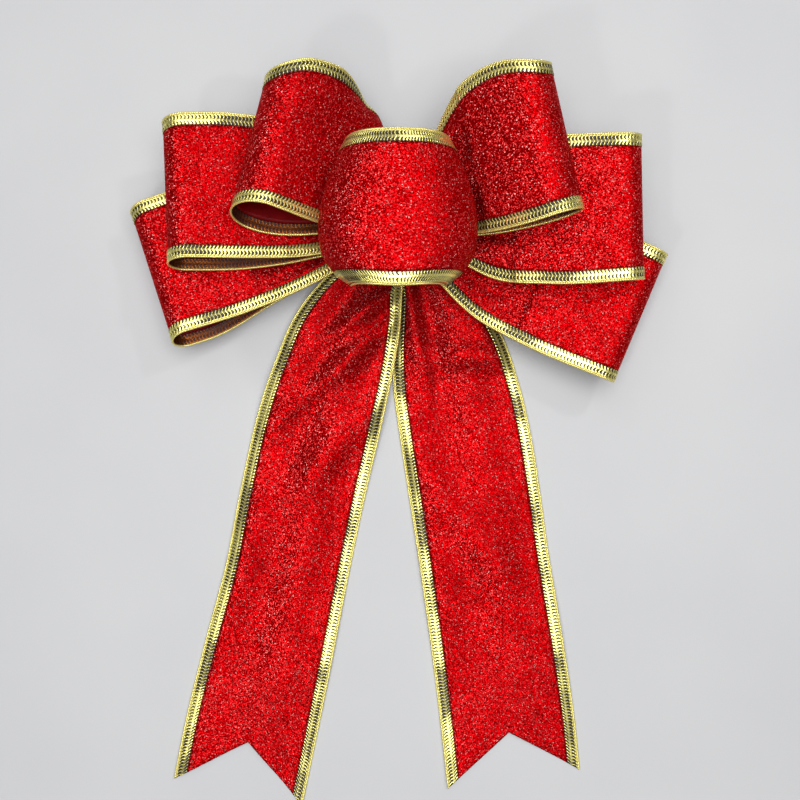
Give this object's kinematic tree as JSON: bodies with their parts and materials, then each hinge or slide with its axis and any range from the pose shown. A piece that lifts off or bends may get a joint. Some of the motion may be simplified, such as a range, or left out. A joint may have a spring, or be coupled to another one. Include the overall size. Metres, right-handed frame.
{
  "type": "gift bow",
  "caption": "Ready-made florist's ribbon bow in red glitter ribbon with woven gold wired borders: stacked side loops, a puffed centre loop, swallow-tail tails and a bendable tie behind.",
  "frame": {"origin": "on the rest plane, straight behind the middle of the knot, where the bow's tie leaves its back", "axes": "+Z out of the bow's front, towards the viewer of a bow that lies face up; +Y towards the bow's top; the tails run towards -Y; +X to the viewer's right"},
  "size_m": [0.2462, 0.3397, 0.0803],
  "materials": {
    "red_glitter_fabric": "coarse red glitter over satin",
    "gold_border": "woven metallic lame",
    "gold_wired_edge": "metallic thread over a fine wire",
    "gathered_ribbon": "pinched pleats of ribbon",
    "binding_wire": "annealed florist's wire",
    "tie_strip": "plastic strip",
    "tie_core_wire": "bare wire"
  },
  "bodies": {
    "knot": {"gathered_knot": "gathered_ribbon", "binding_wire": "binding_wire", "binding_wire_twist": "binding_wire", "tie_band_sleeve": "tie_strip", "tie_band_core": "tie_core_wire", "centre_loop_lower_border": "gold_border", "centre_loop_upper_border": "gold_border", "centre_loop_web": "red_glitter_fabric", "centre_loop_wired_edges": "gold_wired_edge"},
    "upper_left_loop": {"upper_left_loop_lower_border": "gold_border", "upper_left_loop_upper_border": "gold_border", "upper_left_loop_web": "red_glitter_fabric", "upper_left_loop_wired_edges": "gold_wired_edge"},
    "upper_right_loop": {"upper_right_loop_lower_border": "gold_border", "upper_right_loop_upper_border": "gold_border", "upper_right_loop_web": "red_glitter_fabric", "upper_right_loop_wired_edges": "gold_wired_edge"},
    "middle_left_loop": {"middle_left_loop_lower_border": "gold_border", "middle_left_loop_upper_border": "gold_border", "middle_left_loop_web": "red_glitter_fabric", "middle_left_loop_wired_edges": "gold_wired_edge"},
    "middle_right_loop": {"middle_right_loop_lower_border": "gold_border", "middle_right_loop_upper_border": "gold_border", "middle_right_loop_web": "red_glitter_fabric", "middle_right_loop_wired_edges": "gold_wired_edge"},
    "lower_left_loop": {"lower_left_loop_lower_border": "gold_border", "lower_left_loop_upper_border": "gold_border", "lower_left_loop_web": "red_glitter_fabric", "lower_left_loop_wired_edges": "gold_wired_edge"},
    "lower_right_loop": {"lower_right_loop_lower_border": "gold_border", "lower_right_loop_upper_border": "gold_border", "lower_right_loop_web": "red_glitter_fabric", "lower_right_loop_wired_edges": "gold_wired_edge"},
    "left_tail": {"left_tail_inner_border": "gold_border", "left_tail_outer_border": "gold_border", "left_tail_web": "red_glitter_fabric", "left_tail_wired_edges": "gold_wired_edge"},
    "right_tail": {"right_tail_inner_border": "gold_border", "right_tail_outer_border": "gold_border", "right_tail_web": "red_glitter_fabric", "right_tail_wired_edges": "gold_wired_edge"},
    "tie_left_leg": {"tie_left_leg_sleeve": "tie_strip", "tie_left_leg_core": "tie_core_wire"},
    "tie_right_leg": {"tie_right_leg_sleeve": "tie_strip", "tie_right_leg_core": "tie_core_wire"}
  },
  "joints": [
    {"name": "upper_left_loop_fan", "type": "hinge", "parent": "knot", "child": "upper_left_loop", "pos_m": [0, 0, 0.0195], "axis": [0.4409, 0.0107, 0.8975], "range_deg": [-8, 8]},
    {"name": "upper_right_loop_fan", "type": "hinge", "parent": "knot", "child": "upper_right_loop", "pos_m": [0, 0, 0.0195], "axis": [-0.4041, -0.0933, 0.91], "range_deg": [-8, 8]},
    {"name": "middle_left_loop_fan", "type": "hinge", "parent": "knot", "child": "middle_left_loop", "pos_m": [0, 0, 0.014], "axis": [0.2307, 0.0691, 0.9706], "range_deg": [-8, 8]},
    {"name": "middle_right_loop_fan", "type": "hinge", "parent": "knot", "child": "middle_right_loop", "pos_m": [0, 0, 0.014], "axis": [-0.2249, -0.0043, 0.9744], "range_deg": [-8, 8]},
    {"name": "lower_left_loop_fan", "type": "hinge", "parent": "knot", "child": "lower_left_loop", "pos_m": [0, 0, 0.0085], "axis": [0.0815, 0.1186, 0.9896], "range_deg": [-8, 8]},
    {"name": "lower_right_loop_fan", "type": "hinge", "parent": "knot", "child": "lower_right_loop", "pos_m": [0, 0, 0.0085], "axis": [-0.0964, 0.0403, 0.9945], "range_deg": [-8, 8]},
    {"name": "left_tail_swing", "type": "hinge", "parent": "knot", "child": "left_tail", "pos_m": [0, 0, 0], "axis": [0, 0, 1], "range_deg": [-20, 3]},
    {"name": "right_tail_swing", "type": "hinge", "parent": "knot", "child": "right_tail", "pos_m": [0, 0, 0], "axis": [0, 0, 1], "range_deg": [-3, 20]},
    {"name": "tie_left_leg_bend", "type": "hinge", "parent": "knot", "child": "tie_left_leg", "pos_m": [-0.0084, 0, 0.00165], "axis": [0, -1, 0], "range_deg": [0, 90]},
    {"name": "tie_right_leg_bend", "type": "hinge", "parent": "knot", "child": "tie_right_leg", "pos_m": [0.0084, 0, 0.00165], "axis": [0, 1, 0], "range_deg": [0, 90]}
  ]
}
